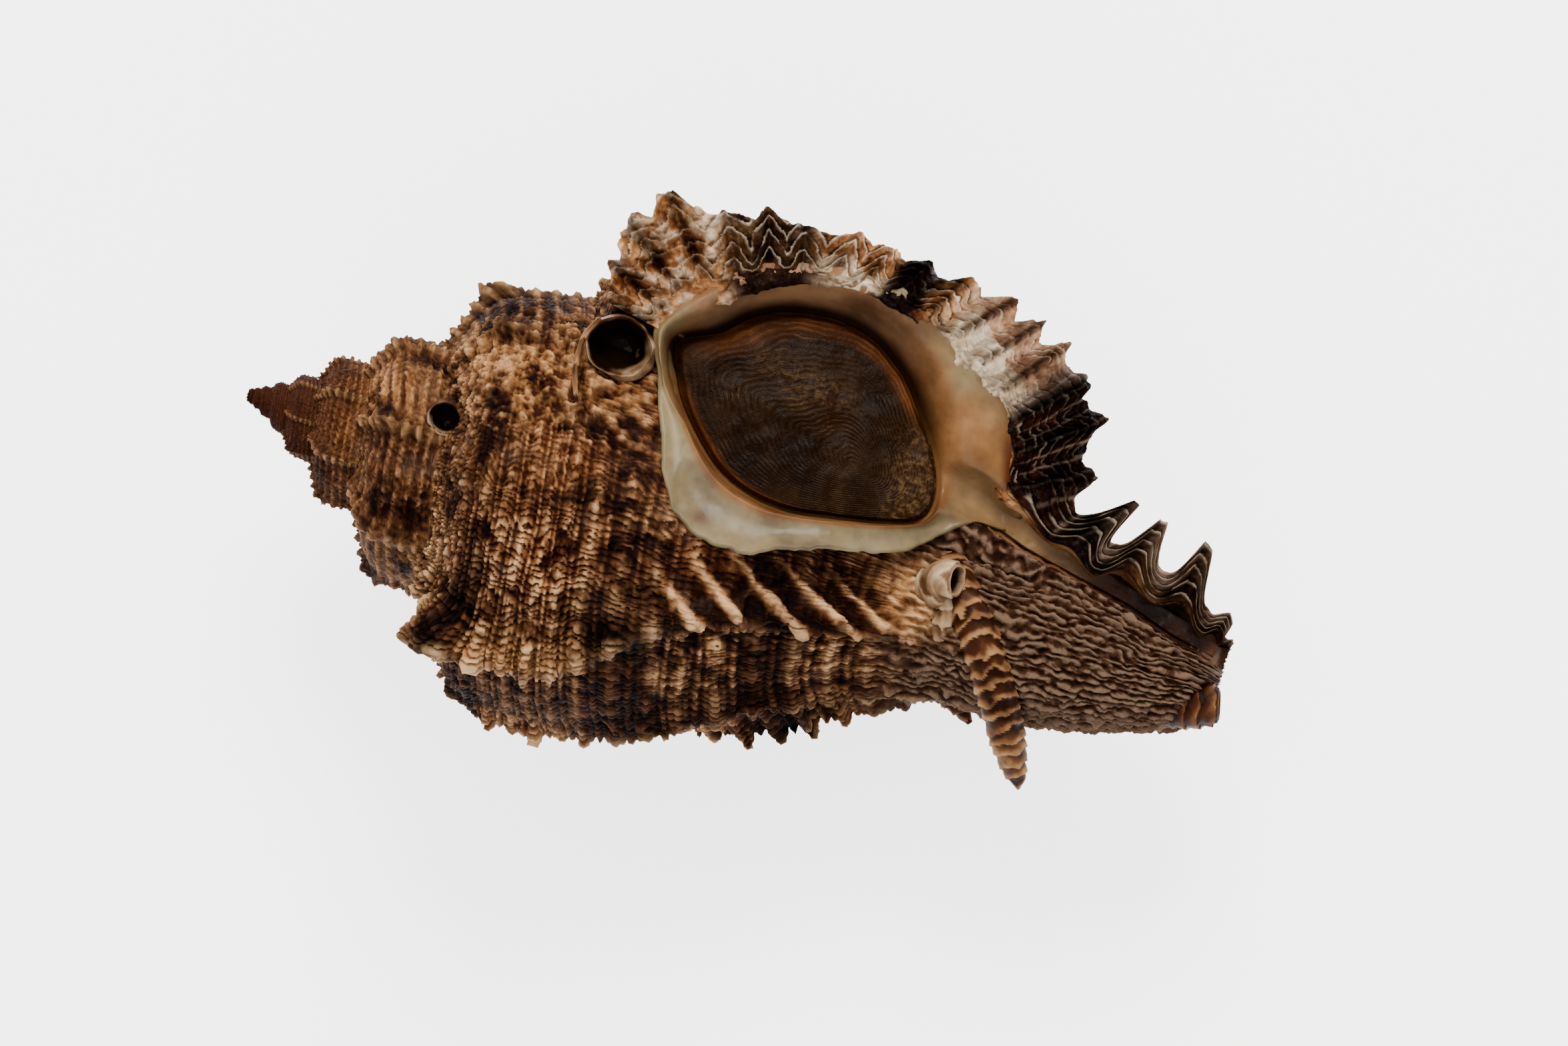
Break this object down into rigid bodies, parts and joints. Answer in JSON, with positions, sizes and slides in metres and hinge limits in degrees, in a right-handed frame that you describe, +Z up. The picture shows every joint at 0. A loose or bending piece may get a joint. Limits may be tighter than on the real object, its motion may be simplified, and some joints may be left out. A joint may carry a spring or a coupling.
{
  "type": "murex shell",
  "caption": "Large spiny sea snail shell with spiral whorls, frilled outer lip, long open canal and a horny lid closing its mouth, lying on its back.",
  "frame": {"origin": "centre of the shell's outer box, on the surface that it lies on", "axes": "+X along the coiling axis from the apex to the canal's end, +Y towards the outer lip, +Z up out of the mouth"},
  "size_m": [0.0994, 0.058, 0.0469],
  "materials": {
    "shell": "rough banded brown and tan shell, with a smooth cream mouth border",
    "operculum": "dark brown horn with fine growth lines"
  },
  "bodies": {
    "root": {"shell": "shell", "operculum": "operculum"}
  },
  "joints": []
}
